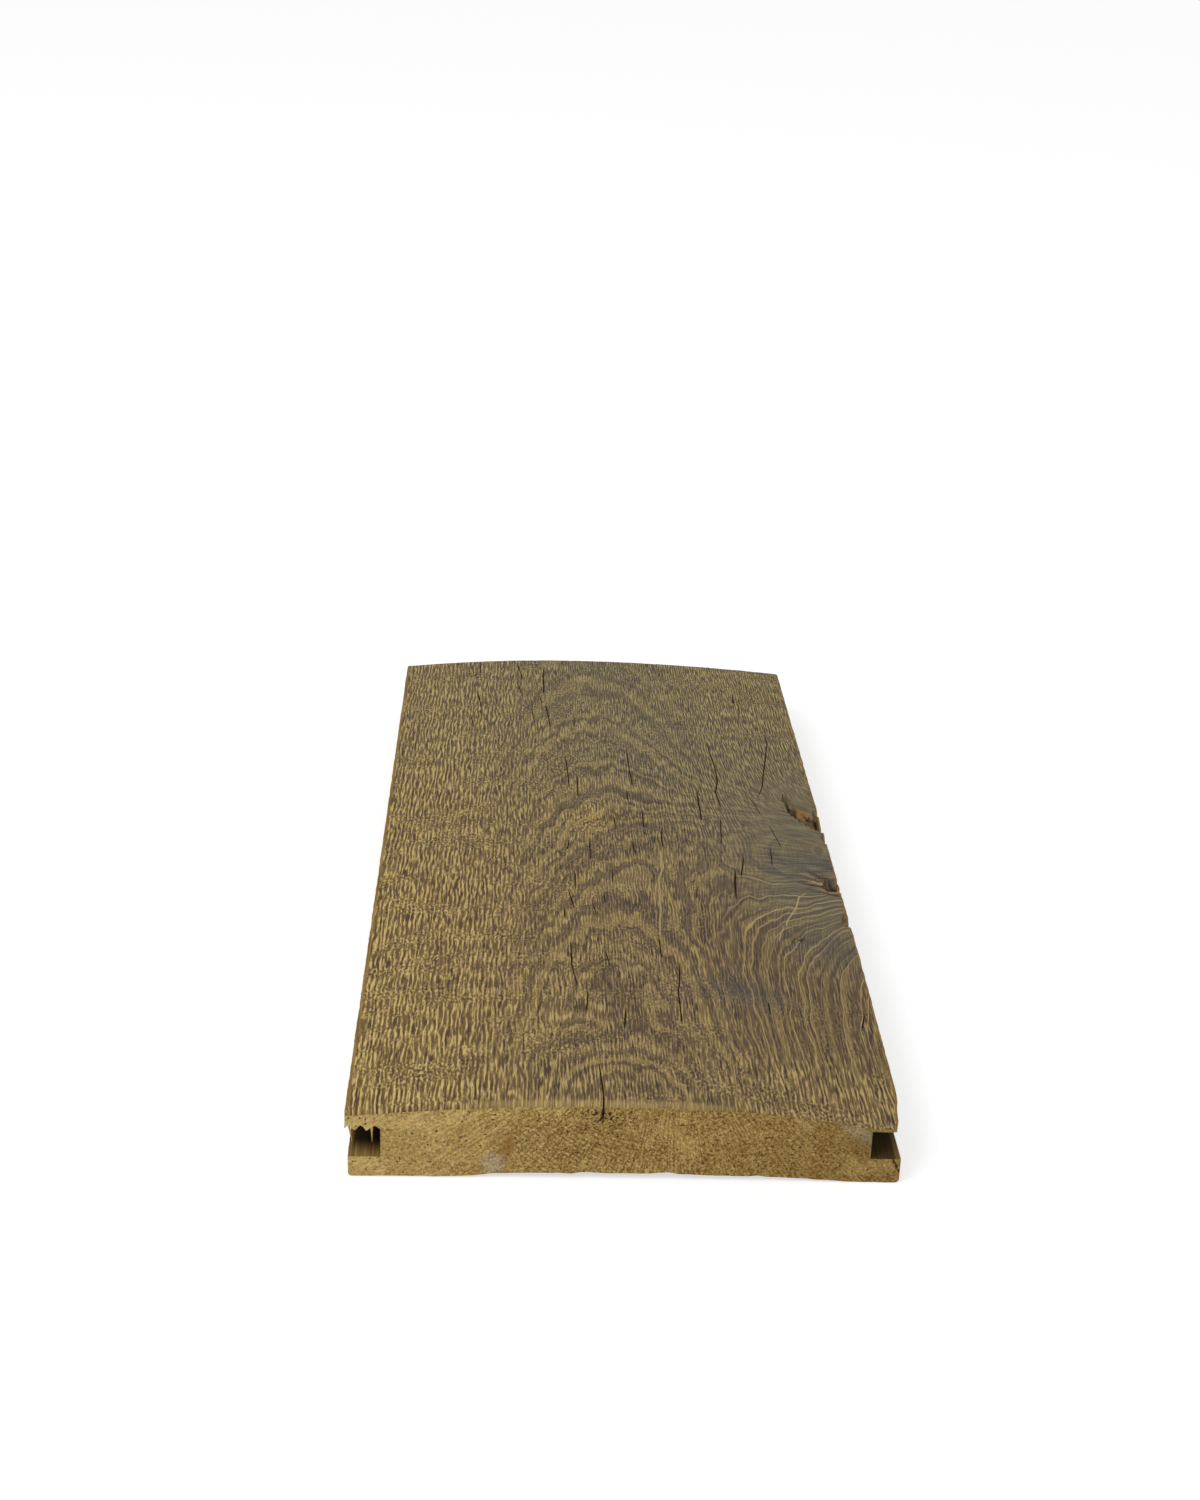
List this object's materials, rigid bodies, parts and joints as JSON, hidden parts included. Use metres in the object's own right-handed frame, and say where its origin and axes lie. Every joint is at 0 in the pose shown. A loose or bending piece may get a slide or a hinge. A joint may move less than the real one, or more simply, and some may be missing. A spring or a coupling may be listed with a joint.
{
  "type": "wide plank floorboard",
  "caption": "Short length of wide solid oak floorboard, crowned on its face and hollow-backed, with a tongue groove along each long edge.",
  "frame": {"origin": "centre of the footprint, on the plane of the two strips that the board lies on", "axes": "+Y along the board and its grain, towards the back end; +X across its width, towards the edge with the knots; +Z out of the walking face"},
  "size_m": [0.2, 0.45, 0.0322],
  "materials": {
    "oak": "weathered, brushed grain, unfinished"
  },
  "bodies": {
    "root": {"floorboard": "oak"}
  },
  "joints": []
}
